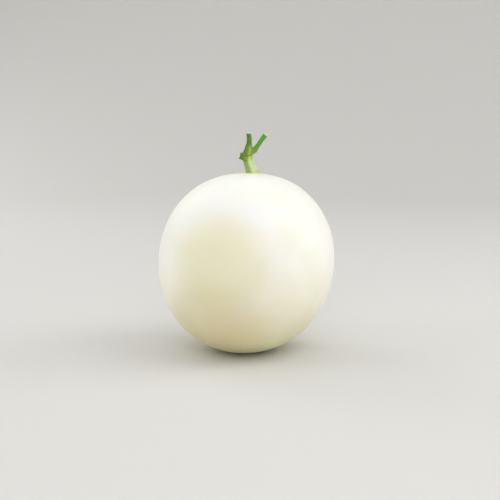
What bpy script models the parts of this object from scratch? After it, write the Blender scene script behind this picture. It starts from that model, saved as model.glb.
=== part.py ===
"""A white muskmelon as it is picked, in two pieces: the smooth round fruit, standing on its
blossom end, and the stalk it hung by, cut off just past the joint that it grew from.

Metres, +Z up, seen from -Y. The origin is on the small flat spot that the fruit stands on,
under the middle of the fruit.
"""

import math

import bmesh
import bpy
from mathutils import Matrix, Vector

MM = 0.001

# Fruit: a round body, a little longer than wide, whose long axis leans to the right. It is
# fuller at the lower end of that axis, and its flanks and ends are a little flattened.
FRUIT_RADIUS = 75.9 * MM
ELONGATION = 0.037
FULLER_END = -0.0086
SQUARENESS = -0.0155
LONG_AXIS_LEAN = math.radians(15.9)
STEM_END_LEAN = math.radians(3.6)
SHOULDER_DROP = 1.3 * MM
SHOULDER_SPREAD = math.radians(21.0)
RIB_COUNT = 10
RIB_HEIGHT = 0.15 * MM
FLAT_SPOT_DEPTH = 1.0 * MM
FRUIT_SIDES = 72
FRUIT_RINGS = 42

# Slow swellings of the fruit, as (waves per radian right, back and up, phase).
SWELL_HEIGHT = 0.25 * MM
SWELLS = (
    (Vector((3.1, 0.0, 1.7)), 0.6),
    (Vector((0.0, 2.3, -2.9)), 1.9),
    (Vector((4.3, -3.7, 0.0)), 0.2),
)

# Seat: the shallow round pit at the stem end that holds the stalk's root.
SEAT_RADIUS = 4.2 * MM
SEAT_DEPTH = 1.6 * MM
GAP = 0.3 * MM

# Stations along each limb of the stalk, as (right, back, up, radius) in millimetres from the
# middle of the seat's rim. The stem is the foot, the neck, the swollen joint and the shoot.
STEM_STATIONS = (
    (-0.45, 0.0, 0.0, 5.0),
    (-0.6, 0.0, 1.2, 4.9),
    (-1.2, 0.0, 2.8, 4.75),
    (-2.2, 0.1, 5.4, 4.45),
    (-3.85, 0.3, 9.4, 4.0),
    (-4.35, 0.5, 13.0, 3.9),
    (-4.6, 0.8, 16.4, 3.85),
    (-4.2, 1.1, 20.0, 3.35),
    (-4.05, 1.6, 23.6, 2.45),
    (-4.25, 2.7, 28.2, 1.95),
    (-4.75, 3.7, 32.6, 1.9),
)
LEAF_STALK_STATIONS = (
    (-2.3, 0.2, 17.0, 2.3),
    (-0.6, -0.4, 18.2, 2.35),
    (1.0, -1.0, 19.5, 2.25),
    (2.3, -1.4, 22.0, 1.95),
    (4.4, -1.9, 25.3, 1.85),
    (6.95, -2.4, 29.4, 1.85),
    (9.2, -2.8, 33.0, 1.95),
)
SIDE_SHOOT_STATIONS = (
    (-4.6, 0.5, 13.4, 3.3),
    (-6.8, 0.3, 13.5, 3.6),
    (-8.8, 0.0, 13.5, 3.2),
    (-10.6, -0.3, 13.6, 2.7),
    (-11.9, -0.5, 13.8, 2.5),
)
STEM_RIDGES = 5
STEM_RIDGE_SHARE = 0.07
STEM_SIDES = 40
STEM_RINGS = 32
LIMB_SIDES = 20
LIMB_RINGS = 14
STEPS_PER_STATION = 12

ROOT_RADIUS = SEAT_RADIUS - GAP
ROOT_LENGTH = SEAT_DEPTH - GAP
UP = Vector((0.0, 0.0, 1.0))
LONG_AXIS = Vector((math.sin(LONG_AXIS_LEAN), 0.0, math.cos(LONG_AXIS_LEAN)))
STEM_TURN = Matrix.Rotation(STEM_END_LEAN, 3, "Y")
STEM_AXIS = STEM_TURN @ UP


def clear_scene():
    for obj in list(bpy.data.objects):
        bpy.data.objects.remove(obj, do_unlink=True)


def plain_material(name, colour, roughness):
    """A Principled BSDF in one colour, given as linear red, green and blue."""
    material = bpy.data.materials.new(name)
    material.use_nodes = True
    surface = material.node_tree.nodes["Principled BSDF"]
    surface.inputs["Base Color"].default_value = (*colour, 1.0)
    surface.inputs["Roughness"].default_value = roughness
    surface.inputs["Metallic"].default_value = 0.0
    return material


def object_from(name, bm, sharp_angle):
    """The bmesh as a smooth-shaded object, with edges over the angle kept sharp."""
    bmesh.ops.recalc_face_normals(bm, faces=bm.faces[:])
    mesh = bpy.data.meshes.new(name)
    bm.to_mesh(mesh)
    bm.free()
    mesh.shade_smooth()
    mesh.set_sharp_from_angle(angle=sharp_angle)
    obj = bpy.data.objects.new(name, mesh)
    bpy.context.scene.collection.objects.link(obj)
    return obj


def add_rings(bm, rings):
    """Vertices for each ring of places, and quads between each ring and the next."""
    rings = [[bm.verts.new(place) for place in ring] for ring in rings]
    for lower, upper in zip(rings, rings[1:]):
        for i in range(len(lower)):
            j = (i + 1) % len(lower)
            bm.faces.new((lower[i], lower[j], upper[j], upper[i]))
    return rings


def close_on_point(bm, ring, place):
    """A fan of triangles from a ring of vertices to one vertex at the place."""
    tip = bm.verts.new(place)
    for i in range(len(ring)):
        bm.faces.new((ring[i], ring[(i + 1) % len(ring)], tip))


def skin_radius(out):
    """Distance of the skin from the fruit's middle, in the unit direction out.

    A sphere with three Legendre polynomials: the second stretches it along the long axis,
    the third fills its lower end, and the fourth, of the height, flattens flanks and ends.
    Low ribs from end to end and slow swellings are added, and the shoulders drop towards the
    stem end.
    """
    along = out.dot(LONG_AXIS)
    stretch = ELONGATION * (3 * along**2 - 1) / 2
    fuller = FULLER_END * (5 * along**3 - 3 * along) / 2
    square = SQUARENESS * (35 * out.z**4 - 30 * out.z**2 + 3) / 8
    body = FRUIT_RADIUS * (1 + stretch + fuller + square)
    turned = STEM_TURN.transposed() @ out
    from_stem = math.acos(max(-1.0, min(1.0, turned.z)))
    round_stem = math.atan2(turned.y, turned.x)
    ribs = RIB_HEIGHT * math.cos(RIB_COUNT * round_stem) * math.sin(from_stem) ** 3
    swell = SWELL_HEIGHT * sum(math.sin(out.dot(waves) + phase) for waves, phase in SWELLS)
    drop = SHOULDER_DROP * math.exp(-((from_stem / SHOULDER_SPREAD) ** 2))
    return body + ribs + swell - drop


def fruit_middle():
    """The fruit's middle, so high that the flat spot takes its stated depth off the skin."""
    return UP * (skin_radius(-UP) - FLAT_SPOT_DEPTH)


def stem_end():
    """The point of the skin that the stalk stands on."""
    return fruit_middle() + STEM_AXIS * skin_radius(STEM_AXIS)


def skin_ring(from_stem):
    """A ring of skin at one angle from the stem end."""
    ring = []
    for i in range(FRUIT_SIDES):
        round_stem = 2 * math.pi * i / FRUIT_SIDES
        flat = Vector((math.cos(round_stem), math.sin(round_stem), 0.0))
        out = STEM_TURN @ (flat * math.sin(from_stem) + UP * math.cos(from_stem))
        ring.append(fruit_middle() + out * skin_radius(out))
    return ring


def cut_flat_spot(bm):
    """Cuts the skin off at the ground and closes it with a flat face with a middle point."""
    cut = bmesh.ops.bisect_plane(
        bm,
        geom=bm.verts[:] + bm.edges[:] + bm.faces[:],
        plane_co=(0.0, 0.0, 0.0),
        plane_no=-UP,
        clear_outer=True,
    )
    edges = [item for item in cut["geom_cut"] if isinstance(item, bmesh.types.BMEdge)]
    for vertex in {vertex for edge in edges for vertex in edge.verts}:
        vertex.co.z = 0.0
    flat_spot = bmesh.ops.contextual_create(bm, geom=edges)["faces"]
    middle = bmesh.ops.poke(bm, faces=flat_spot)["verts"][0]
    middle.co = (0.0, 0.0, 0.0)


def make_fruit():
    """Rings of skin from the seat's rim to the blossom end, with the seat and flat spot."""
    bm = bmesh.new()
    rim_angle = math.asin(SEAT_RADIUS / skin_radius(STEM_AXIS))
    rim = skin_ring(rim_angle)
    seat = [place - STEM_AXIS * SEAT_DEPTH for place in rim]
    step = (math.pi - rim_angle) / FRUIT_RINGS
    skin = [skin_ring(rim_angle + step * i) for i in range(1, FRUIT_RINGS)]
    rings = add_rings(bm, [seat, rim, *skin])
    close_on_point(bm, rings[0], stem_end() - STEM_AXIS * SEAT_DEPTH)
    close_on_point(bm, rings[-1], fruit_middle() - STEM_AXIS * skin_radius(-STEM_AXIS))
    cut_flat_spot(bm)
    return object_from("fruit", bm, math.radians(40.0))


def smooth_route(stations, count):
    """Places and radii spread evenly in length on a Catmull-Rom curve through stations."""
    points = [Vector(station) * MM for station in stations]
    ends = [2 * points[0] - points[1], *points, 2 * points[-1] - points[-2]]
    fine = []
    for a, b, c, d in zip(ends, ends[1:], ends[2:], ends[3:]):
        for step in range(STEPS_PER_STATION):
            t = step / STEPS_PER_STATION
            line = 2 * b + (c - a) * t
            bend = (2 * a - 5 * b + 4 * c - d) * t**2 + (3 * b - a - 3 * c + d) * t**3
            fine.append((line + bend) / 2)
    fine.append(points[-1])
    lengths = [0.0]
    for a, b in zip(fine, fine[1:]):
        lengths.append(lengths[-1] + (b - a).to_3d().length)
    route = []
    k = 0
    for i in range(count):
        wanted = lengths[-1] * i / (count - 1)
        while k < len(fine) - 2 and lengths[k + 1] < wanted:
            k += 1
        share = (wanted - lengths[k]) / (lengths[k + 1] - lengths[k])
        point = fine[k].lerp(fine[k + 1], share)
        route.append((point.to_3d(), point.w))
    return route


def round_ring(place, side, front, radius, sides, ridge_share):
    """A round ring of places, with ridges that are a cosine wave in its radius."""
    ring = []
    for i in range(sides):
        turn = 2 * math.pi * i / sides
        reach = radius * (1 + ridge_share * math.cos(STEM_RIDGES * turn))
        ring.append(place + (side * math.cos(turn) + front * math.sin(turn)) * reach)
    return ring


def limb_rings(stations, sides, count, ridge_share):
    """Rings across a limb, each square to it and turned as little as possible."""
    route = smooth_route(stations, count)
    rings = []
    side = Vector((1.0, 0.0, 0.0))
    for i, (place, radius) in enumerate(route):
        before = route[max(i - 1, 0)][0]
        after = route[min(i + 1, count - 1)][0]
        along = (after - before).normalized()
        side = (side - along * side.dot(along)).normalized()
        rings.append(round_ring(place, side, along.cross(side), radius, sides, ridge_share))
    return rings


def make_limb(name, stations):
    """A round limb closed with flat ends."""
    bm = bmesh.new()
    rings = add_rings(bm, limb_rings(stations, LIMB_SIDES, LIMB_RINGS, 0.0))
    close_on_point(bm, rings[0], Vector(stations[0][:3]) * MM)
    close_on_point(bm, rings[-1], Vector(stations[-1][:3]) * MM)
    return object_from(name, bm, math.radians(50.0))


def make_stem():
    """The root that fills the seat, then the ridged stem from its foot to the cut shoot."""
    bm = bmesh.new()
    side, front = Vector((1.0, 0.0, 0.0)), Vector((0.0, 1.0, 0.0))
    root_end = -UP * ROOT_LENGTH
    root = [
        round_ring(place, side, front, ROOT_RADIUS, STEM_SIDES, 0.0)
        for place in (root_end, Vector())
    ]
    stem = limb_rings(STEM_STATIONS, STEM_SIDES, STEM_RINGS, STEM_RIDGE_SHARE)
    rings = add_rings(bm, root + stem)
    close_on_point(bm, rings[0], root_end)
    close_on_point(bm, rings[-1], Vector(STEM_STATIONS[-1][:3]) * MM)
    return object_from("stalk", bm, math.radians(50.0))


def join_limb(stem, limb):
    """Joins a hidden limb to the stem with a Boolean union."""
    limb.parent = stem
    limb.hide_render = True
    limb.display_type = "WIRE"
    union = stem.modifiers.new("join_" + limb.name, "BOOLEAN")
    union.operation = "UNION"
    union.solver = "EXACT"
    union.object = limb


def make_stalk():
    """The stem with its two side limbs, set upright on the stem end, a gap off the skin."""
    stem = make_stem()
    join_limb(stem, make_limb("leaf_stalk", LEAF_STALK_STATIONS))
    join_limb(stem, make_limb("side_shoot", SIDE_SHOOT_STATIONS))
    stem.location = stem_end() + STEM_AXIS * GAP
    stem.rotation_euler.y = STEM_END_LEAN
    return stem


def main():
    clear_scene()
    make_fruit().data.materials.append(plain_material("melon_skin", (0.84, 0.80, 0.63), 0.45))
    make_stalk().data.materials.append(plain_material("stalk_skin", (0.42, 0.50, 0.22), 0.60))


main()
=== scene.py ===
# %% [markdown]
# # A white muskmelon, grown from formulas
# A white muskmelon is a ball of ivory skin that never quite is a ball: it leans, its shoulders
# drop towards the stalk, and ten faint ribs run from end to end. The stalk is a different thing
# altogether, a ridged green stem with a swollen joint and cut stubs.
#
# The solids of both are already made, and they give this lesson its frame. Here each of them
# gets the surface that the eye expects: a skin with its slow swellings and wax, and a stem with
# ridges, cut ends and hairs. Every shape is a formula that numpy works out for all its points
# at once, and every finish is built from nodes that know where on the fruit they are.

# %% The tools and the frame
import math

import bpy
import numpy as np
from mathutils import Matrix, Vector


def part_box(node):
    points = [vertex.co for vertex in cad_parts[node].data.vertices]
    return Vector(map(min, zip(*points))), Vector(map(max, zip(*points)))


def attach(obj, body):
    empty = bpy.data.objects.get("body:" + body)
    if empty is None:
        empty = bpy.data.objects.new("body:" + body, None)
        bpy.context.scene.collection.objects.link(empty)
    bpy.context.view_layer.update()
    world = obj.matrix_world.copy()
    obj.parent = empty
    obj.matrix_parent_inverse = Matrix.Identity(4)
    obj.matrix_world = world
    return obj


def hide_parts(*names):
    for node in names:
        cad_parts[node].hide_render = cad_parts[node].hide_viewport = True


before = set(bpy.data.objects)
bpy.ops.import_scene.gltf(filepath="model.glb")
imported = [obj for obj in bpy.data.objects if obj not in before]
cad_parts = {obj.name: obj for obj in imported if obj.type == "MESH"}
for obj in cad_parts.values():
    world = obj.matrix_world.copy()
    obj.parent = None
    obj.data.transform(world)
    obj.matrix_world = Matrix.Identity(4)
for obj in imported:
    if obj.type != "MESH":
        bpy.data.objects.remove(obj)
scene = bpy.context.scene
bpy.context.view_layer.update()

# %% [markdown]
# ## Small tools for shapes
# Nearly all of nature's forms can be put together from three things: a hill, a gentle step,
# and soft noise. The noise here is a sum of sine waves that run in random directions. It has no
# grid that could show, and a seed makes it the same every time.

# %% Hills, steps and soft noise
MM = 0.001
TURN = 2 * math.pi
UP = np.array([0.0, 0.0, 1.0])
WAVES = 28
WAVE_STRETCH = (0.7, 1.5)


def unit(vectors):
    """Each vector divided by its own length."""
    return vectors / np.linalg.norm(vectors, axis=-1, keepdims=True)


def hill(x, middle, width):
    """1 at the middle, falling off on both sides as e to the minus squared distance."""
    return np.exp(-(((x - middle) / width) ** 2))


def ease(x, start, end):
    """0 before the start and 1 past the end, with the cubic 3t^2 - 2t^3 between them."""
    t = np.clip((x - start) / (end - start), 0.0, 1.0)
    return t * t * (3 - 2 * t)


def soft_noise(points, wavelength, seed):
    """A sum of sine waves of about the wavelength, in random directions, of mean square 1."""
    draw = np.random.default_rng(seed)
    stretch = draw.uniform(*WAVE_STRETCH, (WAVES, 1))
    ways = unit(draw.normal(size=(WAVES, 3))) * stretch * TURN / wavelength
    phases = draw.uniform(0, TURN, WAVES)
    return np.sin(points @ ways.T + phases).sum(axis=-1) * math.sqrt(2 / WAVES)


# %% [markdown]
# ## From arrays to a piece
# A piece is one mesh object whose place is in its own points, so the object itself stays at the
# origin. It rides on the only body there is, and the part of the solid that it stands for is
# hidden.

# %% Putting a surface into Blender
def new_piece(name, points, faces, stands_for=None):
    """A smooth-shaded mesh from an array of points and a list of arrays of faces."""
    mesh = bpy.data.meshes.new(name)
    mesh.from_pydata(points.tolist(), [], [face for some in faces for face in some.tolist()])
    mesh.validate()
    mesh.shade_smooth()
    piece = bpy.data.objects.new(name, mesh)
    scene.collection.objects.link(piece)
    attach(piece, "root")
    if stands_for:
        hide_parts(stands_for)
    print(name, "has", len(mesh.vertices), "points and", len(mesh.polygons), "faces")
    return piece


def give_attribute(piece, name, values):
    """Stores one number, or one vector, for each point, where the finish can read it."""
    kind, key = ("FLOAT", "value") if values.ndim == 1 else ("FLOAT_VECTOR", "vector")
    attribute = piece.data.attributes.new(name, kind, "POINT")
    attribute.data.foreach_set(key, values.astype(np.float32).ravel())


# %% [markdown]
# ## The fruit's shape
# Seen from its middle, the skin is one distance for each direction, so its shape is a single
# formula. A sphere comes first, and three Legendre polynomials shape it. The second stretches
# it along an axis that leans 16 degrees right, which gives the fruit its fuller right shoulder.
# The third fills the lower end of that axis, and the fourth flattens flanks and ends, which
# makes the body a little square. A hill round the stem end is taken away, so that the shoulders
# drop, and ribs and slow swellings are laid over it. The numbers are those of the solid, so the
# two agree to a hair.

# %% The skin as one formula
FRUIT_RADIUS = 75.9 * MM
ELONGATION = 0.037
FULLER_END = -0.0086
SQUARENESS = -0.0155
LONG_AXIS_LEAN = math.radians(15.9)
STEM_END_LEAN = math.radians(3.6)
SHOULDER_DROP = 1.3 * MM
SHOULDER_SPREAD = math.radians(21.0)
RIB_COUNT = 10
RIB_HEIGHT = 0.15 * MM
SWELL_HEIGHT = 0.25 * MM
SWELLS = np.array([[3.1, 0.0, 1.7], [0.0, 2.3, -2.9], [4.3, -3.7, 0.0]])
SWELL_PHASES = np.array([0.6, 1.9, 0.2])
FLAT_SPOT_DEPTH = 1.0 * MM

LONG_AXIS = np.array([math.sin(LONG_AXIS_LEAN), 0.0, math.cos(LONG_AXIS_LEAN)])
STEM_AXIS = np.array([math.sin(STEM_END_LEAN), 0.0, math.cos(STEM_END_LEAN)])
STEM_RIGHT = np.array([math.cos(STEM_END_LEAN), 0.0, -math.sin(STEM_END_LEAN)])
STEM_BACK = np.array([0.0, 1.0, 0.0])


def stem_angles(out):
    """The angle from the stem end and the angle round it, of unit directions."""
    from_stem = np.arccos(np.clip(out @ STEM_AXIS, -1.0, 1.0))
    return from_stem, np.arctan2(out @ STEM_BACK, out @ STEM_RIGHT)


def skin_radius(out):
    """Radius times one plus P2, P3 and P4 terms, plus ribs and swells, less the drop."""
    along, height = out @ LONG_AXIS, out @ UP
    from_stem, round_stem = stem_angles(out)
    stretch = ELONGATION * (3 * along**2 - 1) / 2
    fuller = FULLER_END * (5 * along**3 - 3 * along) / 2
    square = SQUARENESS * (35 * height**4 - 30 * height**2 + 3) / 8
    body = FRUIT_RADIUS * (1 + stretch + fuller + square)
    ribs = RIB_HEIGHT * np.cos(RIB_COUNT * round_stem) * np.sin(from_stem) ** 3
    swell = SWELL_HEIGHT * np.sin(out @ SWELLS.T + SWELL_PHASES).sum(axis=-1)
    drop = SHOULDER_DROP * np.exp(-((from_stem / SHOULDER_SPREAD) ** 2))
    return body + ribs + swell - drop


FRUIT_MIDDLE = UP * (skin_radius(-UP) - FLAT_SPOT_DEPTH)
STEM_END = FRUIT_MIDDLE + STEM_AXIS * skin_radius(STEM_AXIS)
print("the stem end is", np.round(STEM_END / MM, 2), "mm from the resting spot")

# %% [markdown]
# ## What grows on the skin
# Up close the skin is not a mathematical surface. Round the stalk it is drawn up against the
# foot in a low collar. The foot spreads in one big toe on the right and five low ones, and the
# collar follows them, with fine wrinkles running out from it. All over, the skin has a slow
# unevenness that soft light shows as a gentle change in its sheen. Each of these is a height
# that is added to the radius, so they need nothing but the two angles.

# %% Collar, wrinkles, and the uneven skin
FOOT_RADIUS = 5.0 * MM
FOOT_SHIFT = -0.45 * MM
TOES = 5
LESSER_TOES = 0.35
TOE_SHARE = 0.055
FLARE = 1.7 * MM
LOW_TOES = 0.16
FLARE_HEIGHT = 1.5 * MM
BIG_TOE_TURN = math.radians(25.0)
BIG_TOE_HEIGHT = 1.85 * MM
BIG_TOE_SHARPNESS = 3
BIG_TOE_EDGE = 6
SEAT_RADIUS = 4.2 * MM
SEAT_DEPTH = 1.6 * MM
SEAT_WALL = 0.25 * MM
COLLAR_HEIGHT = 0.6 * MM
COLLAR_WIDTH = 2.2 * MM
COLLAR_EDGE = 0.45 * MM
WRINKLES = 41
CROSS_WRINKLES = 17
WRINKLE_SWAY = 0.6
WRINKLE_HEIGHT = 0.035 * MM
WRINKLE_REACH = 9.0 * MM
# Height, size and seed of each soft noise.
DENTS = (0.055 * MM, 21 * MM, 3)
PEBBLES = (0.010 * MM, 6 * MM, 4)


def toe_wave(turn):
    """Five ridges with five lesser ones between them, as the sum of two cosines."""
    return np.cos(TOES * turn) + LESSER_TOES * np.cos(2 * TOES * turn)


def flare(turn, height):
    """How far the foot spreads: one big toe, as e to the cosine, and five low ones."""
    facing = BIG_TOE_SHARPNESS * (np.cos(turn - BIG_TOE_TURN) - 1)
    big = np.exp(facing - (height / BIG_TOE_HEIGHT) ** BIG_TOE_EDGE)
    low = LOW_TOES * (1 + np.cos(TOES * turn)) * np.exp(-height / FLARE_HEIGHT)
    return FLARE * (big + low)


def foot_reach(turn):
    """From the stem axis to the foot's rim: ridges and flare, less the foot's shift left."""
    ridged = FOOT_RADIUS * (1 + TOE_SHARE * toe_wave(turn))
    return ridged + flare(turn, 0.0) + FOOT_SHIFT * np.cos(turn)


def past_foot(out):
    """How far a direction's point of the skin is outside the foot's rim."""
    from_stem, round_stem = stem_angles(out)
    return from_stem * FRUIT_RADIUS - foot_reach(round_stem)


def stem_end_relief(out):
    """A collar that falls off as a hill from the foot's rim, and wrinkles that cross it."""
    past, round_stem = past_foot(out), stem_angles(out)[1]
    inside = ease(past, -COLLAR_EDGE, 0.0)
    collar = COLLAR_HEIGHT * hill(np.maximum(past, 0.0), 0.0, COLLAR_WIDTH) * inside
    bend = WRINKLE_SWAY * np.sin(3 * round_stem + 1.0) + 2 * past / COLLAR_WIDTH
    lines = np.sin(WRINKLES * round_stem + bend)
    lines += np.sin(TURN / 4 + CROSS_WRINKLES * round_stem - bend)
    fade = inside * (1 - ease(past, COLLAR_EDGE, WRINKLE_REACH))
    return collar + WRINKLE_HEIGHT * lines * fade


def uneven_relief(out):
    """Two sizes of soft noise: dents as wide as a thumb, and a finer pebbling."""
    return sum(
        height * soft_noise(out * FRUIT_RADIUS, size, seed)
        for height, size, seed in (DENTS, PEBBLES)
    )


print("the big toe reaches", np.round(foot_reach(BIG_TOE_TURN) / MM, 2), "mm out")

# %% [markdown]
# ## Building the fruit
# The skin is a grid of rings round the stem axis. The rings lie close together where the
# collar and the scar need fine detail, and further apart at the belly. How close they lie is a
# formula too, and adding it up along the skin gives the place of each ring.
#
# At the stem end the skin dips into the seat of the stalk. At the other end it is pressed flat
# where the fruit stands, and the round scar of the blossom is a shallow pit inside that spot.

# %% The fruit as a grid of rings
FRUIT_RINGS = 258
FRUIT_SIDES = 380
ANGLE_SAMPLES = 5000
FLAT_SPOT_ROUNDING = 0.12 * MM
SCAR_RADIUS = 4.6 * MM
SCAR_WIDTH = 0.9 * MM
SCAR_DEPTH = 0.45 * MM
# Angle, width and height of each hill in how closely the rings lie.
COLLAR_CROWD = (6.5 * MM / FRUIT_RADIUS, 0.055, 6.0)
SCAR_CROWD = (math.pi - 7.0 * MM / FRUIT_RADIUS, 0.09, 3.0)


def ring_angles(count):
    """Angles from 0 to half a turn, closer by 1 plus a hill at the collar and at the scar."""
    angle = np.linspace(0.0, math.pi, ANGLE_SAMPLES)
    crowd = 1 + sum(
        height * hill(angle, at, width) for at, width, height in (COLLAR_CROWD, SCAR_CROWD)
    )
    share = crowd.cumsum() / crowd.sum()
    return np.interp(np.linspace(0.0, 1.0, count + 2)[1:-1], share, angle)


def ring_quads(rings, sides):
    """The number of each point of the rings, of its neighbour, and the quads between rings."""
    index = np.arange(rings * sides).reshape(rings, sides)
    after = np.roll(index, -1, axis=1)
    quads = np.stack([index[:-1], index[1:], after[1:], after[:-1]], axis=-1).reshape(-1, 4)
    return index, after, quads


def closed_grid(rings, sides):
    """Quads between rings whose ends meet, and triangles that close both poles."""
    index, after, quads = ring_quads(rings, sides)
    first_pole = np.full(sides, rings * sides)
    first = np.stack([first_pole, index[0], after[0]], axis=-1)
    last = np.stack([first_pole + 1, after[-1], index[-1]], axis=-1)
    return [quads, first, last]


def press_flat(height):
    """A smooth greater of the height and zero, which turns over a small rounding."""
    return (height + np.sqrt(height**2 + FLAT_SPOT_ROUNDING**2)) / 2


def fruit_points():
    """All points of the skin, ring by ring, and then the stem end's and blossom end's."""
    from_stem, round_stem = np.meshgrid(
        ring_angles(FRUIT_RINGS), np.arange(FRUIT_SIDES) * TURN / FRUIT_SIDES, indexing="ij"
    )
    across = np.cos(round_stem)[..., None] * STEM_RIGHT + np.sin(round_stem)[..., None] * STEM_BACK
    out = np.cos(from_stem)[..., None] * STEM_AXIS + np.sin(from_stem)[..., None] * across
    out = np.concatenate([out.reshape(-1, 3), [STEM_AXIS, -STEM_AXIS]])
    radius = skin_radius(out) + stem_end_relief(out) + uneven_relief(out)
    points = FRUIT_MIDDLE + out * radius[:, None]
    reach = stem_angles(out)[0] * FRUIT_RADIUS
    seat = SEAT_DEPTH * (1 - ease(reach, SEAT_RADIUS - SEAT_WALL, SEAT_RADIUS + SEAT_WALL))
    points -= STEM_AXIS * seat[:, None]
    points[:, 2] = press_flat(points[:, 2])
    from_scar = np.hypot(points[:, 0], points[:, 1])
    below = points[:, 2] < FLAT_SPOT_DEPTH
    scar = SCAR_DEPTH * (1 - ease(from_scar, SCAR_RADIUS - SCAR_WIDTH, SCAR_RADIUS))
    points[:, 2] += np.where(below, scar, 0.0)
    return out, points


fruit_out, skin = fruit_points()
fruit = new_piece("melon", skin, closed_grid(FRUIT_RINGS, FRUIT_SIDES), "fruit")
stem_angle, stem_turn = stem_angles(fruit_out)
give_attribute(fruit, "from_stem", stem_angle)
give_attribute(fruit, "past_foot", past_foot(fruit_out) / MM)
meridian = [np.cos(stem_turn), np.sin(stem_turn), stem_angle]
give_attribute(fruit, "meridian", np.stack(meridian, axis=-1))
print("the skin, in mm:", np.round([skin.min(0) / MM, skin.max(0) / MM], 2).tolist())

# %% [markdown]
# ## Finishes as expressions
# A finish is a sum of small thoughts, such as "greener near the stalk" times "in streaks".
# Written as nodes they are hard to read, so a wire here is a Python object: adding or
# multiplying two wires adds the Math node that does it, and the formula stays readable.
# Colours go through Mix nodes, because a Math node would turn them grey.

# %% A wire, and the bench that finishes are built on
class Wire:
    """An output of a node. Maths on wires and numbers adds Math nodes and gives a wire."""

    def __init__(self, bench, socket):
        self.bench = bench
        self.socket = socket

    def __add__(self, other):
        return self.bench.math("ADD", self, other)

    def __radd__(self, other):
        return self.bench.math("ADD", other, self)

    def __sub__(self, other):
        return self.bench.math("SUBTRACT", self, other)

    def __rsub__(self, other):
        return self.bench.math("SUBTRACT", other, self)

    def __mul__(self, other):
        return self.bench.math("MULTIPLY", self, other)

    def __rmul__(self, other):
        return self.bench.math("MULTIPLY", other, self)


class Bench:
    """A material under construction, with one surface shader at its end."""

    def __init__(self, name):
        self.material = bpy.data.materials.new(name)
        self.material.use_nodes = True
        self.tree = self.material.node_tree
        self.tree.nodes.clear()

    def node(self, kind, settings=None, sockets=None, out=None):
        """Adds a node: its settings first, then its sockets' numbers, colours or wires.

        A ramp's settings hold its stops, as (place, colour) pairs. A socket is called by its
        name, or by its number where two have the same name. The wire that comes back is the
        output of the name asked for, or else the node's first one.
        """
        made = self.tree.nodes.new(kind)
        for key, value in (settings or {}).items():
            if key == "stops":
                self.set_stops(made.color_ramp, value)
            else:
                setattr(made, key, value)
        for key, value in (sockets or {}).items():
            named = [s for s in made.inputs if s.enabled and s.name == key]
            socket = named[0] if named else made.inputs[key]
            if isinstance(value, Wire):
                self.tree.links.new(value.socket, socket)
            else:
                socket.default_value = value
        shown = [s for s in made.outputs if s.enabled and out in (None, s.name)]
        return Wire(self, shown[0] if shown else None)

    @staticmethod
    def set_stops(ramp, stops):
        """Gives a colour ramp these stops and no others."""
        while len(ramp.elements) < len(stops):
            ramp.elements.new(1.0)
        for element, (place, colour) in zip(ramp.elements, stops):
            element.position = place
            element.color = colour

    def math(self, operation, first, second):
        """A Math node on two wires or numbers."""
        return self.node("ShaderNodeMath", {"operation": operation}, {0: first, 1: second})

    def step(self, value, start, end):
        """A gentle step from 0 to 1 while the value goes from start to end."""
        return self.node(
            "ShaderNodeMapRange",
            {"interpolation_type": "SMOOTHSTEP"},
            {"Value": value, "From Min": start, "From Max": end},
        )

    def mix(self, factor, first, second, blend="MIX"):
        """A colour that goes from the first to the second as the factor goes from 0 to 1."""
        return self.node(
            "ShaderNodeMix",
            {"data_type": "RGBA", "blend_type": blend},
            {"Factor": factor, "A": first, "B": second},
        )

    def noise(self, vector, scale, detail=2.0):
        """Noise between 0 and 1, with so many features in each metre."""
        sockets = {"Vector": vector, "Scale": scale, "Detail": detail}
        return self.node("ShaderNodeTexNoise", {}, sockets)

    def cells(self, vector, scale):
        """The distance to the nearest of many scattered points, in cells of such a size."""
        sockets = {"Vector": vector, "Scale": scale}
        return self.node("ShaderNodeTexVoronoi", {}, sockets, out="Distance")

    def stretched(self, vector, stretch):
        """The vector with each of its three parts multiplied by its own number."""
        return self.node("ShaderNodeMapping", {}, {"Vector": vector, "Scale": stretch})

    def carried(self, name, out="Fac"):
        """The number, or with out="Vector" the vector, that the piece's points carry."""
        return self.node("ShaderNodeAttribute", {"attribute_name": name}, out=out)

    def bump(self, height, strength, distance):
        """A normal that leans with the slope of a height, which counts in such a distance."""
        sockets = {"Strength": strength, "Distance": distance, "Height": height}
        return self.node("ShaderNodeBump", {}, sockets)

    def finish(self, piece, shader_sockets):
        """Ends in a Principled shader with these sockets, and gives it to the piece."""
        surface = self.node("ShaderNodeBsdfPrincipled", {}, shader_sockets)
        self.node("ShaderNodeOutputMaterial", {}, {"Surface": surface})
        piece.data.materials.clear()
        piece.data.materials.append(self.material)
        print(self.material.name, "has", len(self.tree.nodes), "nodes")


def tint(red, green, blue):
    """A colour as it is picked on a screen, 0 to 255, made linear for the shader."""
    share = np.array([red, green, blue]) / 255
    linear = np.where(share <= 0.04045, share / 12.92, ((share + 0.055) / 1.055) ** 2.4)
    return (*(float(value) for value in linear), 1.0)


# %% [markdown]
# ## The colours of a ripening skin, with painted shade
# The skin is ivory, whitest at the stem end and creamier towards the blossom; that darker,
# yellower lower half is partly the skin's own tone and partly painted shade. Two broad patches
# of darker straw, on the front left and low in front, are painted shade, each given by the
# direction of its middle and by how far it reaches. Over that lie cloudy patches that lean to
# straw and pale green. All of these depend only on where on the fruit a point is, and a slow
# noise sways their borders, so that none of them looks drawn.

# %% Bands, stains and clouds
IVORY = tint(236, 236, 232)
PALE_CREAM = tint(245, 243, 234)
CREAM = tint(247, 243, 223)
BLOSSOM_END = tint(236, 231, 181)
STRAW = tint(230, 219, 172)
PALE_GREEN = tint(228, 230, 198)
FRUIT_TOP = float(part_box("fruit")[1][2])
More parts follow.
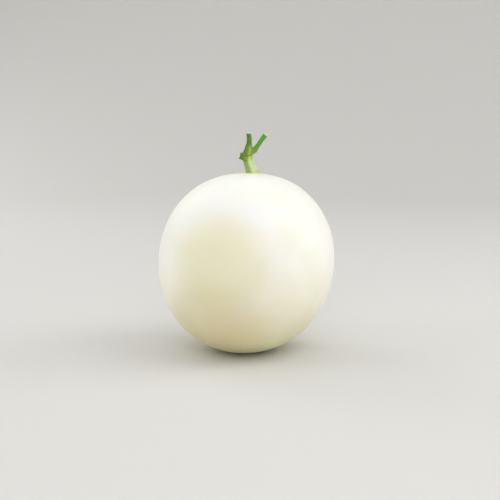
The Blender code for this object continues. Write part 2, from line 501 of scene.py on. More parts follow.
# The ramp is the skin's own ripening, and its darker, yellower bottom is also painted shade.
RIPENING_AND_SHADE = [(0.04, BLOSSOM_END), (0.32, CREAM), (0.56, PALE_CREAM), (0.82, IVORY)]
# Direction of the middle, cosine at the border, share and colour of each patch of painted shade.
PAINTED_SHADE_PATCHES = (
    (unit(np.array([-0.33, -0.74, -0.59])), 0.74, 0.50, tint(208, 186, 138)),
    (unit(np.array([-0.33, -0.93, 0.13])), 0.78, 0.45, tint(216, 213, 153)),
)
BAND_SWAY = 0.25
SHADE_PATCH_SWAY = 0.3
CLOUD_EDGES = (0.42, 0.75)
CLOUD_SHARE = 0.20
GREEN_STRETCH = (1.0, 1.0, 0.8)
GREEN_EDGES = (0.45, 0.8)
GREEN_SHARE = 0.25


def ripening_and_shade_colour(bench, place):
    """A ramp up the height, partly painted shade, then each patch of painted shade, then straw
    clouds and pale green clouds over it.
    """
    height = bench.node("ShaderNodeSeparateXYZ", {}, {"Vector": place}, out="Z")
    sway = (bench.noise(place, 14.0) - 0.5) * BAND_SWAY
    bands = {"Fac": height * (1 / FRUIT_TOP) + sway}
    colour = bench.node("ShaderNodeValToRGB", {"stops": RIPENING_AND_SHADE}, bands)
    centred = bench.node(
        "ShaderNodeMapping", {}, {"Vector": place, "Location": tuple(-FRUIT_MIDDLE)}
    )
    outward = bench.node("ShaderNodeVectorMath", {"operation": "NORMALIZE"}, {"Vector": centred})
    # Painted shade: each patch darkens the skin towards straw, on the front left and low in front.
    for side, start, share, stain in PAINTED_SHADE_PATCHES:
        sides = {0: outward, 1: side}
        facing = bench.node("ShaderNodeVectorMath", {"operation": "DOT_PRODUCT"}, sides, "Value")
        reach = bench.step(facing + sway * SHADE_PATCH_SWAY, start, 1.0)
        colour = bench.mix(reach * share, colour, stain)
    clouds = bench.noise(place, 19.0, 3.0)
    colour = bench.mix(bench.step(clouds, *CLOUD_EDGES) * CLOUD_SHARE, colour, STRAW)
    greens = bench.noise(bench.stretched(place, GREEN_STRETCH), 31.0)
    return bench.mix(bench.step(greens, *GREEN_EDGES) * GREEN_SHARE, colour, PALE_GREEN)


# %% [markdown]
# ## Streaks, pores, cork and wax
# Near the stalk faint green streaks follow the ribs, and a green blush fades out over a
# finger's breadth. There are hardly visible pores, in some places more than in others. Where
# the foot parts from the skin there is a thin ragged line of cork, and so there is on the scar
# of the blossom. The streaks read the angle round the stem end, which the points carry.
#
# Wax makes it glow: light enters the skin a little way and comes out softened, and a thin
# coat adds a wide, quiet sheen.

# %% The melon's ivory skin
STEM_BLUSH = tint(219, 226, 180)
CORK = tint(184, 158, 112)
PORE = tint(214, 208, 168)
STREAK_REACH = (0.62, 0.08)
STREAK_STRETCH = (9.0, 9.0, 1.3)
STREAK_EDGES = (0.47, 0.72)
STREAK_SHARE = 0.45
BLUSH_REACH = (0.21, 0.075)
BLUSH_SHARE = 0.5
PORES_PER_METRE = 310.0
PORE_EDGES = (0.16, 0.07)
PORE_AREAS = (0.48, 0.62)
PORE_SHARE = 0.35
CORK_START = (-0.5, 0.0)
CORK_END = (0.35, 0.0)
CORK_SHARE = 0.4
SCAR_EDGES = (math.pi - 0.075, math.pi - 0.055)
SCAR_SHARE = 0.8


def dress_skin(piece):
    """Nodes for the skin, from the piece's own coordinates and its stem-end angles."""
    bench = Bench("melon_skin")
    place = bench.node("ShaderNodeTexCoord", out="Object")
    from_stem = bench.carried("from_stem")
    colour = ripening_and_shade_colour(bench, place)

    near_stem = bench.step(from_stem, *STREAK_REACH) * STREAK_SHARE
    meridian = bench.stretched(bench.carried("meridian", "Vector"), STREAK_STRETCH)
    streaks = bench.step(bench.noise(meridian, 1.0, 4.0), *STREAK_EDGES)
    colour = bench.mix(streaks * near_stem, colour, STEM_BLUSH)
    blush = bench.step(from_stem, *BLUSH_REACH)
    colour = bench.mix(blush * BLUSH_SHARE, colour, STEM_BLUSH)

    pores = bench.cells(place, PORES_PER_METRE)
    chosen = bench.step(bench.noise(place, 120.0, 1.0), *PORE_AREAS)
    colour = bench.mix(bench.step(pores, *PORE_EDGES) * chosen * PORE_SHARE, colour, PORE)

    ragged = bench.carried("past_foot") + (bench.noise(place, 1100.0, 3.0) - 0.5) * 0.5
    cork = bench.step(ragged, *CORK_START) * bench.step(ragged, *CORK_END)
    colour = bench.mix(cork * CORK_SHARE, colour, CORK)
    scar = bench.step(from_stem, *SCAR_EDGES)
    colour = bench.mix(scar * SCAR_SHARE, colour, CORK)

    grain = bench.noise(place, 520.0, 3.0) + 0.35 * bench.noise(place, 1900.0)
    height_map = grain - 0.5 * bench.step(pores, PORE_EDGES[0], 0.0)
    bench.finish(
        piece,
        {
            "Base Color": colour,
            "Roughness": 0.42 + 0.14 * bench.noise(place, 60.0, 3.0) + 0.3 * cork,
            "Normal": bench.bump(height_map, 0.35, 0.03 * MM),
            "IOR": 1.45,
            "Subsurface Weight": 0.22,
            "Subsurface Radius": (1.0, 0.82, 0.55),
            "Subsurface Scale": 5.0 * MM,
            "Coat Weight": 0.08,
            "Coat Roughness": 0.38,
            "Sheen Weight": 0.10,
            "Sheen Roughness": 0.45,
        },
    )


dress_skin(fruit)

# %% [markdown]
# ## The stalk's limbs
# Four limbs meet in the stalk's joint: the foot and neck that carry the fruit, the shoot above
# them, the stub of a leaf's stalk, and the stub of a side shoot. The first two are one smooth
# line through a few stations, the stem, and each of the stubs is a line of its own. A station
# says how thick the limb is there. The stations are those of the solid, in millimetres from
# the middle of the seat's rim.

# %% Smooth lines through stations
# Each row: right, back, up, and radius.
STEM_STATIONS = np.array([
    [-0.45, 0.0, 0.0, 5.0],
    [-0.6, 0.0, 1.2, 4.9],
    [-1.2, 0.0, 2.8, 4.75],
    [-2.2, 0.1, 5.4, 4.45],
    [-3.85, 0.3, 9.4, 4.0],
    [-4.35, 0.5, 13.0, 3.9],
    [-4.6, 0.8, 16.4, 3.85],
    [-4.2, 1.1, 20.0, 3.35],
    [-4.05, 1.6, 23.6, 2.45],
    [-4.25, 2.7, 28.2, 1.95],
    [-4.75, 3.7, 32.6, 1.9],
])
LEAF_STALK_STATIONS = np.array([
    [-2.3, 0.2, 17.0, 2.3],
    [-0.6, -0.4, 18.2, 2.35],
    [1.0, -1.0, 19.5, 2.25],
    [2.3, -1.4, 22.0, 1.95],
    [4.4, -1.9, 25.3, 1.85],
    [6.95, -2.4, 29.4, 1.85],
    [9.2, -2.8, 33.0, 1.95],
])
SIDE_SHOOT_STATIONS = np.array([
    [-4.6, 0.5, 13.4, 3.3],
    [-6.8, 0.3, 13.5, 3.6],
    [-8.8, 0.0, 13.5, 3.2],
    [-10.6, -0.3, 13.6, 2.7],
    [-11.9, -0.5, 13.8, 2.5],
])
LEAF_STALK_RIDGES = 0.04
SIDE_SHOOT_RIDGES = 0.03
GAP = 0.3 * MM
SAMPLE_STEP = 0.3 * MM
CURVE_STEPS = 40


def smooth_line(stations):
    """Samples of a Catmull-Rom curve through the stations, about a sample step apart."""
    points = stations * MM
    ends = np.concatenate([[2 * points[0] - points[1]], points, [2 * points[-1] - points[-2]]])
    a, b, c, d = (ends[i : len(ends) - 3 + i, None] for i in range(4))
    t = np.linspace(0.0, 1.0, CURVE_STEPS, endpoint=False)[None, :, None]
    bend = (2 * a - 5 * b + 4 * c - d) * t**2 + (3 * b - a - 3 * c + d) * t**3
    fine = np.concatenate([((2 * b + (c - a) * t + bend) / 2).reshape(-1, 4), points[-1:]])
    length = np.concatenate([[0], np.linalg.norm(np.diff(fine[:, :3], axis=0), axis=1).cumsum()])
    wanted = np.linspace(0.0, length[-1], round(length[-1] / SAMPLE_STEP) + 1)
    return wanted, np.stack([np.interp(wanted, length, fine[:, k]) for k in range(4)], axis=-1)


class Limb:
    """A limb's samples: middle line, radius, length so far, and the frame at each sample."""

    def __init__(self, stations, ridge_share):
        self.length, samples = smooth_line(stations)
        self.middle = samples[:, :3]
        self.radius = samples[:, 3]
        self.ridge_share = ridge_share
        self.along = unit(np.gradient(self.middle, axis=0))
        side = np.array([1.0, 0.0, 0.0]) - self.along * self.along[:, :1]
        self.side = unit(side)
        self.front = np.cross(self.along, self.side)


limbs = [
    Limb(STEM_STATIONS, TOE_SHARE),
    Limb(LEAF_STALK_STATIONS, LEAF_STALK_RIDGES),
    Limb(SIDE_SHOOT_STATIONS, SIDE_SHOOT_RIDGES),
]
for limb in limbs:
    print("a limb of", round(limb.length[-1] / MM, 1), "mm in", len(limb.length), "samples")

# %% [markdown]
# ## A field instead of a tube
# Tubes that are simply stuck together meet in hard creases, and a real joint has none: the
# tissue flows from one limb into the next. So the stalk is made as a field, a number at every
# point of space that is negative inside the stem and positive outside. Each limb has its own
# field, how far a point is outside its ridged and rounded side, and a soft minimum melts the
# fields together. The stem's surface is where the melted field is zero.

# %% How far a point is from each limb
UPPER_CREASE = 15.5 * MM
UPPER_CREASE_TILT = 0.25
LOWER_CREASE = 9.7 * MM
LOWER_CREASE_TILT = -0.12
LOWER_CREASE_SIDE = (3.2 * MM, 5.5 * MM)
LOWER_CREASE_SHARE = 0.8
CREASE_WIDTH = 0.55 * MM
LOWER_CREASE_WIDTH = 0.7 * CREASE_WIDTH
CREASE_DEPTH = 0.30 * MM
CREASE_REACH = (0.3 * MM, 1.3 * MM)
RIPPLE_HEIGHT = 0.2 * MM
RIPPLE_LENGTH = 1.3 * MM
BLEND = 0.55 * MM
LUMP_HEIGHT = 0.07 * MM
LUMP_SIZE = 5 * MM
LUMP_SEED = 11
SMOOTH_FOOT = 4 * MM
PITH_DEPTH = 0.22 * MM
PITH_EDGES = (0.1, 0.55)
BUNDLES = 10
BUNDLE_HEIGHT = 0.07 * MM
BUNDLE_RING = (0.66, 0.13)
CUT_ROUNDING = 0.10 * MM
CUT_TILT = np.array([0.10, -0.12, 0.0])
SKIN_CLEARANCE = 0.02 * MM
ROOT_RADIUS = SEAT_RADIUS - GAP
ROOT_LENGTH = SEAT_DEPTH - GAP
CHUNK = 40000


def softly_greatest(first, second, rounding):
    """The greater of two fields, with the edge between them rounded."""
    return rounding * np.logaddexp(first / rounding, second / rounding)


def softly_least(fields, rounding):
    """The least of several fields, melted together where they are near each other."""
    return -rounding * np.logaddexp.reduce([-field / rounding for field in fields])


def limb_coordinates(points, limb):
    """For each point: its length along the limb, distance off it, and angle round it."""
    near = np.empty(len(points), int)
    for start in range(0, len(points), CHUNK):
        some = points[start : start + CHUNK]
        square = (limb.middle**2).sum(1) - 2 * some @ limb.middle.T
        near[start : start + CHUNK] = square.argmin(1)
    off = points - limb.middle[near]
    slide = np.clip((off * limb.along[near]).sum(1), -SAMPLE_STEP, SAMPLE_STEP)
    inner = (near > 0) & (near < len(limb.length) - 1)
    slide = np.where(inner, slide, 0.0)
    off -= limb.along[near] * slide[:, None]
    turn = np.arctan2((off * limb.front[near]).sum(1), (off * limb.side[near]).sum(1))
    return limb.length[near] + slide, np.linalg.norm(off, axis=1), turn


def cut_height(points, limb, turn):
    """Height above a limb's cut face, and the distance from its middle in radii.

    The face is tilted, with a sunken pith and raised bundles.
    """
    end = limb.middle[-1]
    facing = unit(limb.along[-1] + CUT_TILT)
    off = points - end
    height = off @ facing
    share = np.linalg.norm(off - height[:, None] * facing, axis=1) / limb.radius[-1]
    pith = PITH_DEPTH * (1 - ease(share, *PITH_EDGES))
    bundles = BUNDLE_HEIGHT * hill(share, *BUNDLE_RING) * (0.5 + 0.5 * np.cos(BUNDLES * turn))
    return height + pith - bundles, share


def joint_creases(points, stem_side):
    """Two tilted rings round the joint, as hills in height. The lower one is on the left."""
    right, up = points[:, 0], points[:, 2]
    ripple = RIPPLE_HEIGHT * np.sin(right / RIPPLE_LENGTH + 1.0)
    upper = hill(up - UPPER_CREASE_TILT * right + ripple, UPPER_CREASE, CREASE_WIDTH)
    lower = hill(up - LOWER_CREASE_TILT * right + ripple, LOWER_CREASE, LOWER_CREASE_WIDTH)
    on_left = ease(-right, *LOWER_CREASE_SIDE)
    near_stem = 1 - ease(stem_side, *CREASE_REACH)
    return np.maximum(upper, LOWER_CREASE_SHARE * lower * on_left) * near_stem


def limb_field(points, limb):
    """Distance off the middle line less the ridged radius, cut off at the limb's end.

    The stem, which is the first limb, also has the toes of its foot.
    """
    length, distance, turn = limb_coordinates(points, limb)
    radius = np.interp(length, limb.length, limb.radius)
    side = distance - radius * (1 + limb.ridge_share * toe_wave(turn))
    if limb is limbs[0]:
        side -= flare(turn, length)
    return softly_greatest(side, cut_height(points, limb, turn)[0], CUT_ROUNDING)


def to_world(points):
    """From the stalk's own frame, which stands on the stem end, to the fruit's."""
    turned = points[:, :1] * STEM_RIGHT + points[:, 1:2] * STEM_BACK + points[:, 2:] * STEM_AXIS
    return turned + STEM_END + STEM_AXIS * GAP


def above_skin(points):
    """How high points of the stalk's own frame are above the fruit's uneven skin."""
    world = to_world(points) - FRUIT_MIDDLE
    reach = np.linalg.norm(world, axis=1)
    out = world / reach[:, None]
    return reach - skin_radius(out) - uneven_relief(out)


def stalk_field(points):
    """All limbs melted together, cut off by the skin, with the root that fills the seat."""
    sides = [limb_field(points, limb) for limb in limbs]
    body = softly_least(sides, BLEND) + CREASE_DEPTH * joint_creases(points, sides[0])
    above_foot = ease(points[:, 2], 0.0, SMOOTH_FOOT)
    lumps = LUMP_HEIGHT * soft_noise(points, LUMP_SIZE, LUMP_SEED) * above_foot
    body = softly_greatest(body + lumps, SKIN_CLEARANCE - above_skin(points), CUT_ROUNDING / 2)
    root_side = np.hypot(points[:, 0], points[:, 1]) - ROOT_RADIUS
    root_end = np.abs(points[:, 2] + ROOT_LENGTH / 2) - ROOT_LENGTH / 2 - GAP
    root = softly_greatest(root_side, root_end, CUT_ROUNDING / 2)
    return softly_least([body, root], CUT_ROUNDING)


print("the seat is", np.round(above_skin(np.zeros((1, 3))) / MM, 2), "mm off the skin")

# %% [markdown]
# ## From the field to a skin
# Surface nets turn a field into a mesh. Space is divided into small cells, and the field is
# read at their corners. Each cell that holds a change of sign gets one point, at the mean of
# the places where its edges cross zero, and each crossed edge gets one face, which joins the
# four cells round it. Two steps of Newton's method then slide every point onto the true
# surface, along the steepest slope of the field.

# %% Surface nets with whole arrays
CELL = 0.21 * MM
SLOPE_STEP = 0.02 * MM
NEWTON_STEPS = 2
LEAST_SQUARE_SLOPE = 0.25


def surface_net(field, low, high):
    """Points and quads of the surface where the field is zero, facing its positive side."""
    axes = [np.arange(start, stop, CELL) for start, stop in zip(low, high)]
    corners = np.stack(np.meshgrid(*axes, indexing="ij"), axis=-1)
    value = field(corners.reshape(-1, 3)).reshape(corners.shape[:3])
    shape = tuple(size - 1 for size in value.shape)
    total, count = np.zeros((*shape, 3)), np.zeros(shape)
    crossed = []
    for axis in range(3):
        turn = (axis, (axis + 1) % 3, (axis + 2) % 3)
        turned = value.transpose(turn)
        place = corners.transpose(*turn, 3)
        first, second = turned[:-1], turned[1:]
        cross = (first < 0) != (second < 0)
        share = np.where(cross, first / np.where(cross, first - second, 1.0), 0.0)[..., None]
        where = (place[:-1] + share * (place[1:] - place[:-1])) * cross[..., None]
        back = tuple(np.argsort(turn))
        for array, part in ((total, where), (count, cross.astype(float))):
            four = part[:, :-1, :-1] + part[:, 1:, :-1] + part[:, :-1, 1:] + part[:, 1:, 1:]
            array += four.transpose(*back, 3) if four.ndim == 4 else four.transpose(back)
        crossed.append((turn, cross, first < 0))
    used = count > 0
    number = np.cumsum(used).reshape(shape) - 1
    faces = []
    for turn, cross, negative in crossed:
        cells = number.transpose(turn)
        inner = cross[:, 1:-1, 1:-1]
        ring = [cells[:, :-1, :-1], cells[:, 1:, :-1], cells[:, 1:, 1:], cells[:, :-1, 1:]]
        quads = np.stack([part[inner] for part in ring], axis=-1)
        outward = negative[:, 1:-1, 1:-1][inner]
        faces.append(np.where(outward[:, None], quads, quads[:, ::-1]))
    return total[used] / count[used][:, None], faces


def slope(field, points):
    """The field's value and its slope, from small steps along each axis."""
    value = field(points)
    ahead = [field(points + SLOPE_STEP * step) for step in np.eye(3)]
    return value, np.stack([(one - value) / SLOPE_STEP for one in ahead], axis=-1)


def settle(field, points):
    """Newton's method: each point slides down the slope by the value over the slope."""
    for _ in range(NEWTON_STEPS):
        value, rise = slope(field, points)
        square = np.maximum((rise**2).sum(1), LEAST_SQUARE_SLOPE)
        points = points - rise * (value / square)[:, None]
    return points


MARGIN = 1.0 * MM
reach_low = np.min([(limb.middle - limb.radius[:, None]).min(0) for limb in limbs], axis=0)
reach_high = np.max([(limb.middle + limb.radius[:, None]).max(0) for limb in limbs], axis=0)
reach_low[2] = -ROOT_LENGTH - GAP
net, net_faces = surface_net(stalk_field, reach_low - MARGIN, reach_high + MARGIN)
stem_local = settle(stalk_field, net)
stalk = new_piece("stem", to_world(stem_local), net_faces, "stalk")

# %% [markdown]
# ## What the stem's finish needs to know
# The finish changes along the stem: cream at the foot, pale green on the neck, olive at the
# joint, and full green on the shoot and the leaf's stalk; the olive is laid on more strongly on
# the shaded side, as painted shade. Ridges are paler than the grooves between them, and one
# ridge at the joint carries a painted highlight on its front. The stem's left side, turned from
# the light, and the side shoot get painted shade, and so do the big toe and the two creases.
# The cut faces are pale and moist.
# Each of these is worked out here for all points and kept as a number at each point.

# %% Numbers along the stem
GREENING_LENGTHS = np.array([0.0, 3.0, 10.0, 15.2, 17.0, 21.0, 25.0, 34.0]) * MM
GREENING = np.array([0.0, 0.20, 0.30, 0.46, 0.62, 0.72, 0.90, 1.0])
SIDE_SHOOT_GREENING = 0.70
LEAF_STALK_GREENING = (3.5 * MM, 9.0 * MM)
PAINTED_SHADE_TURN = math.radians(-155.0)
PAINTED_SHADE_EDGES = (0.25, 0.75)
TOE_PAINTED_SHADE = 0.9
LEAF_STALK_PAINTED_SHADE = 0.1
OLIVE_PLACE = 15.5 * MM
OLIVE_WIDTH = 5.0 * MM
OLIVE_IN_SUN = 0.15
HIGHLIGHT_RIGHT = (-2.7 * MM, 0.9 * MM)
HIGHLIGHT_UP = (19.8 * MM, 2.5 * MM)
CUT_EDGES = (-0.15 * MM, -0.04 * MM)
STRAND_LENGTH = 4 * MM

lengths, _, turns = zip(*(limb_coordinates(stem_local, limb) for limb in limbs))
fields = np.stack([limb_field(stem_local, limb) for limb in limbs])
weights = np.exp(-(fields - fields.min(0)) / BLEND)
weights /= weights.sum(0)
main = weights.argmax(0)
cuts = [cut_height(stem_local, limb, turn) for limb, turn in zip(limbs, turns)]
main_turn = np.choose(main, turns)
main_length = np.choose(main, lengths)
cut = np.choose(main, [ease(height, *CUT_EDGES) for height, _ in cuts])
outward = unit(slope(stalk_field, stem_local)[1])
greening = np.interp(lengths[0], GREENING_LENGTHS, GREENING)
# Painted shade: the stem's left side, turned from the light, and all of the side shoot are
# darkened.
sunless = ease(np.cos(turns[0] - PAINTED_SHADE_TURN), *PAINTED_SHADE_EDGES)
# The big toe, tucked behind the neck, gets painted shade too.
toe_painted_shade = TOE_PAINTED_SHADE * flare(turns[0], lengths[0]) / FLARE
sunless = np.clip(np.maximum(sunless, toe_painted_shade), 0.0, 1.0)
sunless = sunless * weights[0] + LEAF_STALK_PAINTED_SHADE * weights[1] + weights[2]
# The olive is the joint's own colour, laid on more strongly on the shaded side as painted shade.
olive = hill(lengths[0], OLIVE_PLACE, OLIVE_WIDTH)
# A painted highlight: a pale spot on a ridge at the joint, on the side turned to the front.
pale_ridge = hill(stem_local[:, 0], *HIGHLIGHT_RIGHT) * hill(stem_local[:, 2], *HIGHLIGHT_UP)
stem_numbers = {
    "greening": np.maximum(greening, SIDE_SHOOT_GREENING * weights[2]),
    "leaf_stalk": weights[1] * ease(lengths[1], *LEAF_STALK_GREENING),
    "olive": olive * (OLIVE_IN_SUN + (1 - OLIVE_IN_SUN) * sunless),
    "sunless": sunless,
    "crease": joint_creases(stem_local, fields[0]),
    "pale_ridge": pale_ridge * ease(-outward[:, 1], 0.0, 0.6),
    "ridge": sum(weight * toe_wave(turn) for weight, turn in zip(weights, turns)),
    "cut": cut,
    "core": np.choose(main, [share for _, share in cuts]),
}
strand = [np.cos(main_turn), np.sin(main_turn), main_length / STRAND_LENGTH]
give_attribute(stalk, "strand", np.stack(strand, axis=-1))
for number_name, numbers in stem_numbers.items():
    give_attribute(stalk, number_name, numbers)
print("points on cut faces:", int((cut > 0.5).sum()))

# %% [markdown]
# ## The stem's finish
# Real stems are never one green. Long strands of paler and deeper green run up the ridges,
# small corky flecks sit on the old neck, and the joint has an olive stain that is stronger on its
# shaded side, where it is also painted shade.
# The strand attribute is an angle and a length, so noise on it is drawn out along the stem
# wherever the limb bends.

# %% The stem's green skin
FOOT_CREAM = tint(206, 214, 172)
NECK_GREEN = tint(196, 211, 163)
NECK_TOP = tint(188, 203, 112)
JOINT_GREEN = tint(131, 165, 70)
SHOOT_GREEN = tint(68, 124, 30)
LEAF_STALK_GREEN = tint(82, 156, 44)
OLIVE_STAIN_AND_SHADE = tint(118, 134, 32)
PAINTED_SHADE_FILTER = tint(194, 212, 138)
CREASE_PAINTED_SHADE = tint(84, 104, 18)
PAINTED_HIGHLIGHT_GREEN = tint(178, 206, 116)
GROOVE_GREEN = tint(128, 152, 74)
FLECK_BROWN = tint(150, 116, 74)
CUT_PALE = tint(214, 222, 172)
BUNDLE_GREEN = tint(150, 176, 96)
GREENING_STOPS = [
    (0.0, FOOT_CREAM),
    (0.24, NECK_GREEN),
    (0.48, NECK_TOP),
    (0.66, JOINT_GREEN),
    (0.92, SHOOT_GREEN),
]
GREENING_SWAY = 0.14
STAIN_EDGES = (0.3, 0.62)
CREASE_SHADE_SHARE = 0.75
HIGHLIGHT_SHARE = 0.85
STRAND_STRETCH = (5.0, 5.0, 0.5)
STRAND_EDGES = (0.42, 0.72)
STRAND_SHARE = 0.45
GROOVE_SHARE = 0.22
FIBRE_STRETCH = (16.0, 16.0, 0.9)
FLECKS_PER_METRE = 900.0
FLECK_EDGES = (0.32, 0.18)
FLECK_AREAS = (0.56, 0.66)
FLECK_SHARE = 0.55
BUNDLES_START = (0.5, 0.62)
BUNDLES_END = (0.86, 0.72)
BUNDLE_SHARE = 0.6


def dress_stem(piece):
    """Nodes for the stem, from the numbers that its points carry."""
    bench = Bench("stem_skin")
    place = bench.node("ShaderNodeTexCoord", out="Object")
    carried = {name: bench.carried(name) for name in stem_numbers}
    strand = bench.carried("strand", "Vector")

    greening = carried["greening"] + (bench.noise(place, 260.0, 3.0) - 0.5) * GREENING_SWAY
    colour = bench.node("ShaderNodeValToRGB", {"stops": GREENING_STOPS}, {"Fac": greening})
    colour = bench.mix(carried["leaf_stalk"], colour, LEAF_STALK_GREEN)
    stain = bench.step(bench.noise(place, 330.0, 3.0), *STAIN_EDGES)
    # Olive stain, partly the joint's colour and partly painted shade on the shaded side.
    colour = bench.mix(carried["olive"] * (0.3 + 0.5 * stain), colour, OLIVE_STAIN_AND_SHADE)
    # Painted shade: the shaded side is multiplied by a darker green.
    colour = bench.mix(carried["sunless"], colour, PAINTED_SHADE_FILTER, "MULTIPLY")
    # Painted shade darkens the two creases round the joint.
    colour = bench.mix(carried["crease"] * CREASE_SHADE_SHARE, colour, CREASE_PAINTED_SHADE)
    # Painted highlight on the ridge at the joint.
    colour = bench.mix(carried["pale_ridge"] * HIGHLIGHT_SHARE, colour, PAINTED_HIGHLIGHT_GREEN)

    strands = bench.noise(bench.stretched(strand, STRAND_STRETCH), 1.0, 4.0)
    deep = bench.step(strands, *STRAND_EDGES) * STRAND_SHARE
    grooves = bench.step(carried["ridge"], 0.0, -1.0) * GROOVE_SHARE
    colour = bench.mix(deep * carried["greening"], colour, GROOVE_GREEN)
    colour = bench.mix(grooves, colour, GROOVE_GREEN)

    spots = bench.cells(place, FLECKS_PER_METRE)
    chosen = bench.step(bench.noise(place, 420.0, 1.0), *FLECK_AREAS)
    flecks = bench.step(spots, *FLECK_EDGES) * chosen
    colour = bench.mix(flecks * FLECK_SHARE, colour, FLECK_BROWN)

    core = carried["core"]
    bundles = bench.step(core, *BUNDLES_START) * bench.step(core, *BUNDLES_END)
    inside = bench.mix(bundles * BUNDLE_SHARE, CUT_PALE, BUNDLE_GREEN)
    colour = bench.mix(carried["cut"], colour, inside)

    fibres = bench.noise(bench.stretched(strand, FIBRE_STRETCH), 1.0, 3.0)
    height_map = fibres + 0.5 * bench.noise(place, 2600.0) - flecks * 0.4
    bench.finish(
        piece,
        {
            "Base Color": colour,
            "Roughness": 0.52 + 0.12 * strands - 0.2 * carried["cut"],
            "Normal": bench.bump(height_map, 0.6, 0.06 * MM),
            "IOR": 1.42,
            "Specular IOR Level": 0.35,
            "Subsurface Weight": 0.15,
            "Subsurface Radius": (0.8, 1.0, 0.35),
            "Subsurface Scale": 1.2 * MM,
        },
    )


dress_stem(stalk)

# %% [markdown]
# ## Hairs on the stem
# Young melon stems are rough with short stiff hairs, many on the shoot and the leaf's stalk
# and few on the old neck. Each hair is a bent, three-sided spike of sixteen triangles, and
# all of them together are one mesh. They are drawn with a seed, at points of the stem's own
# surface, more of them where the stem is greener.

# %% Spikes on the surface
HAIR_COUNT = 1500
HAIR_SEED = 21
HAIR_LENGTH = (0.35 * MM, 0.95 * MM)
HAIR_RADIUS = 0.028 * MM
HAIR_RINGS = 3
HAIR_SIDES = 3
HAIR_SPREAD = 0.45
HAIR_DROOP = 0.25
HAIR_SUNK = 0.03 * MM
BARE_FOOT = 1.5 * MM
HAIR_GREEN = tint(150, 178, 96)
HAIR_WHITE = tint(226, 232, 204)


def hair_roots():
    """Seeded places and outward directions, more likely where the stem is greener."""
    draw = np.random.default_rng(HAIR_SEED)
    green = np.maximum(stem_numbers["greening"], weights[1])
    chance = green**1.5 * (1 - cut) * (stem_local[:, 2] > BARE_FOOT)
    chosen = draw.choice(len(stem_local), HAIR_COUNT, replace=False, p=chance / chance.sum())
    return draw, stem_local[chosen], outward[chosen]


def hair_mesh():
    """Rings that shrink to a tip along a line that leaves the skin and droops as t squared."""
    draw, roots, out = hair_roots()
    lean = unit(out + HAIR_SPREAD * draw.normal(size=out.shape))
    droop = -UP * draw.uniform(0.0, HAIR_DROOP, (HAIR_COUNT, 1))
    reach = draw.uniform(*HAIR_LENGTH, (HAIR_COUNT, 1))
    side = unit(np.cross(lean, draw.normal(size=lean.shape)))
    front = np.cross(lean, side)
    t = (np.arange(HAIR_RINGS) / HAIR_RINGS)[:, None]
    angle = (np.arange(HAIR_SIDES) * TURN / HAIR_SIDES)[:, None]
    bend = lean[:, None] * t + droop[:, None] * t**2
    line = roots[:, None] + reach[:, None] * bend - out[:, None] * HAIR_SUNK
    width = HAIR_RADIUS * (1 - t)[None, :, :, None]
    around = side[:, None, None] * np.cos(angle) + front[:, None, None] * np.sin(angle)
    rings = line[:, :, None] + width * around
    tips = roots + reach * (lean + droop)
    points = np.concatenate([rings.reshape(HAIR_COUNT, -1, 3), tips[:, None]], axis=1)
    return points, hair_faces(points.shape[1])


def hair_faces(stride):
    """The same faces for each hair, shifted by the number of points that a hair has."""
    index, after, quads = ring_quads(HAIR_RINGS, HAIR_SIDES)
    quads = quads[:, [0, 3, 2, 1]]
    tip = np.full(HAIR_SIDES, stride - 1)
    tips = np.stack([index[-1], after[-1], tip], axis=-1)
    base = index[0][::-1][None]
    shift = (np.arange(HAIR_COUNT) * stride)[:, None, None]
    return [(part[None] + shift).reshape(-1, part.shape[1]) for part in (quads, tips, base)]


hair_points, hair_face_list = hair_mesh()
hair_points = to_world(hair_points.reshape(-1, 3))
hairs = new_piece("stem_hairs", hair_points, hair_face_list)
hair_bench = Bench("stem_hair")
hair_place = hair_bench.node("ShaderNodeTexCoord", out="Object")
hair_colour = hair_bench.mix(hair_bench.noise(hair_place, 700.0), HAIR_GREEN, HAIR_WHITE)
hair_bench.finish(hairs, {"Base Color": hair_colour, "Roughness": 0.45})

# %% [markdown]
# ## The studio
# The floor is a wide pale dish: flat under the fruit, and curved up far away on every side, so
# no horizon shows from any angle. Most of the light is the even white sky of the studio. The
# key light hangs above on the right, a little in front. Four larger ones stand further off, on
# the right, on the left, in front, and behind on the left, where it draws the rim. All five
# hang so high that none shows as a line on the floor, and the camera doesn't see them.

# %% Floor, lights and sky
FLOOR_FLAT = 1.1
FLOOR_BEND = 0.9
FLOOR_WALL = 1.2
FLOOR_BEND_RINGS = 36
FLOOR_SIDES = 96
FLOOR_COLOUR = tint(206, 205, 202)


def dish_profile():
    """Distance out and height: a flat run, a quarter circle, and a straight wall."""
    bend = np.linspace(0.0, math.pi / 2, FLOOR_BEND_RINGS)
    out = np.concatenate([[0.02, 0.4, FLOOR_FLAT * 0.8], FLOOR_FLAT + FLOOR_BEND * np.sin(bend)])
    high = np.concatenate([[0.0, 0.0, 0.0], FLOOR_BEND * (1 - np.cos(bend))])
    return np.append(out, out[-1]), np.append(high, high[-1] + FLOOR_WALL)


def make_floor():
    """The dish's profile carried once round, with its middle closed by a face."""
    out, high = dish_profile()
    angle = np.arange(FLOOR_SIDES) * TURN / FLOOR_SIDES
    out, high = out[:, None], high[:, None]
    sides = np.broadcast_arrays(out * np.cos(angle), out * np.sin(angle), high)
    points = np.stack(sides, axis=-1).reshape(-1, 3)
    index, _, quads = ring_quads(len(out), FLOOR_SIDES)
    mesh = bpy.data.meshes.new("floor")
    mesh.from_pydata(points.tolist(), [], quads.tolist() + [index[0].tolist()])
    mesh.shade_smooth()
    floor = bpy.data.objects.new("floor", mesh)
    scene.collection.objects.link(floor)
    Bench("floor_paint").finish(floor, {"Base Color": FLOOR_COLOUR, "Roughness": 0.9})


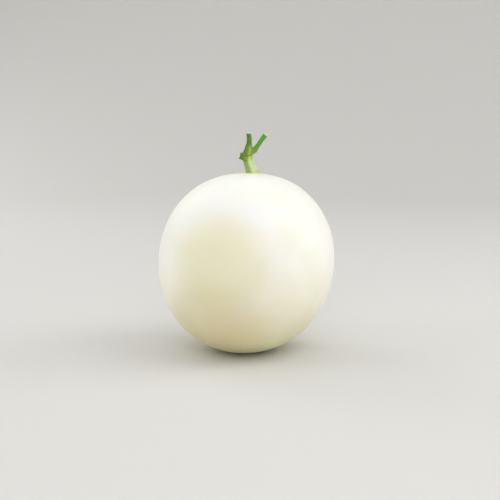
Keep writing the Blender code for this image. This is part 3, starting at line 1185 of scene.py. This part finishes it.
def look(place, aim):
    """The turn of a camera or light at a place that faces the aim."""
    return (Vector(aim) - Vector(place)).to_track_quat("-Z", "Y").to_euler()


def soft_light(name, aim, place, size, power):
    """A square white area light at a place, turned to face the aim."""
    light = bpy.data.lights.new(name, "AREA")
    light.shape = "SQUARE"
    light.size = size
    light.energy = power
    lamp = bpy.data.objects.new(name, light)
    lamp.location = place
    lamp.rotation_euler = look(place, aim)
    lamp.visible_camera = False
    scene.collection.objects.link(lamp)


def fill_sky(strength):
    """One even white light from all round."""
    world = bpy.data.worlds.new("sky")
    scene.world = world
    world.use_nodes = True
    background = world.node_tree.nodes["Background"]
    background.inputs["Color"].default_value = (1.0, 1.0, 1.0, 1.0)
    background.inputs["Strength"].default_value = strength


SKY_STRENGTH = 0.90
# Place and size in metres, and power in watts.
SOFT_LIGHTS = {
    "key": ((0.75, -0.35, 1.05), 0.8, 3.5),
    "right": ((1.5, 0.2, 0.95), 0.9, 7.2),
    "left_back": ((-1.0, 0.9, 0.85), 0.9, 4.8),
    "left": ((-1.5, -0.2, 0.9), 0.9, 4.6),
    "front": ((0.0, -1.4, 0.8), 1.0, 5.8),
}

middle = tuple(float(value) for value in FRUIT_MIDDLE)
make_floor()
fill_sky(SKY_STRENGTH)
for light_name, placing in SOFT_LIGHTS.items():
    soft_light(light_name, middle, *placing)
scene.view_settings.view_transform = "Standard"

# %% [markdown]
# ## The camera
# The fruit was photographed from a little above its middle. The camera's distance is a guess
# of an arm's length, the lens is worked out from how much of the real thing one pixel of the
# picture covers, and the aim from where the fruit's middle is in the picture.

# %% The camera
PICTURE_SIZE = 500
METRES_PER_PX = 0.852 * MM
FRUIT_MIDDLE_PX = (246.35, 261.75)
CAMERA_DISTANCE = 0.90
CAMERA_ELEVATION = math.radians(9.5)
SENSOR = 36.0


def make_camera():
    """A camera whose picture holds the fruit at the photographed size and place."""
    data = bpy.data.cameras.new("camera")
    data.sensor_width = SENSOR
    data.lens = SENSOR * CAMERA_DISTANCE / (METRES_PER_PX * PICTURE_SIZE)
    back = np.array([0.0, -math.cos(CAMERA_ELEVATION), math.sin(CAMERA_ELEVATION)])
    above = np.array([0.0, math.sin(CAMERA_ELEVATION), math.cos(CAMERA_ELEVATION)])
    right_px, down_px = PICTURE_SIZE / 2 - np.array(FRUIT_MIDDLE_PX)
    aim = FRUIT_MIDDLE + METRES_PER_PX * (right_px * np.array([1.0, 0.0, 0.0]) - down_px * above)
    camera = bpy.data.objects.new("camera", data)
    camera.location = aim + back * CAMERA_DISTANCE
    camera.rotation_euler = look(camera.location, aim)
    scene.collection.objects.link(camera)
    bpy.context.scene.camera = camera
    print("lens", round(data.lens, 1), "mm")


make_camera()
